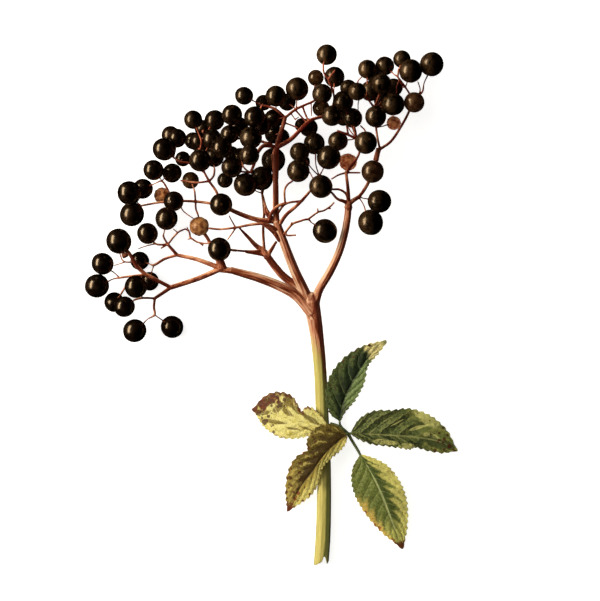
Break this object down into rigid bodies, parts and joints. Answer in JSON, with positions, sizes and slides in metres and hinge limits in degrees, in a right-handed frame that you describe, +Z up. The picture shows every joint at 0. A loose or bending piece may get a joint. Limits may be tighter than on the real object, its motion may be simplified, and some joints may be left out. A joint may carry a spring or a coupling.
{
  "type": "elderberry cluster",
  "caption": "Cut stem of black elderberries, its rays and fine stalks carrying round berries, with one toothed compound leaf, lying flat.",
  "frame": {"origin": "on the surface that the cluster lies on, under the middle of its box", "axes": "+Y runs from the cut end of the stem to the berries, +Z is up off the surface, +X completes a right-handed frame towards the longer side of the leaf"},
  "size_m": [0.1194, 0.1671, 0.033],
  "materials": {
    "stem_skin": "smooth, finely ribbed plant stem, pink-brown above and yellow-green below",
    "stalk_skin": "smooth red-brown berry stalks",
    "berry_skin": "smooth black-brown fruit skin with a soft gloss",
    "leaf_stalk_skin": "smooth green leaf stalk",
    "leaf_dark_green": "matt dark green leaf with paler veins",
    "leaf_green": "matt green leaf with a yellowing margin",
    "leaf_olive": "matt olive-brown and yellow autumn leaf",
    "leaf_yellow": "matt yellow autumn leaf with brown spots"
  },
  "bodies": {
    "root": {"stem": "stem_skin", "spray_left": "berry_skin", "spray_back": "berry_skin", "spray_centre_left": "berry_skin", "spray_low": "berry_skin", "spray_centre": "berry_skin", "spray_side": "berry_skin", "spray_centre_front": "berry_skin", "spray_right": "berry_skin", "leaf_stalk": "leaf_stalk_skin", "leaflet_upper": "leaf_dark_green", "leaflet_right": "leaf_green", "leaflet_end": "leaf_green", "leaflet_front": "leaf_olive", "leaflet_left": "leaf_yellow"}
  },
  "joints": []
}
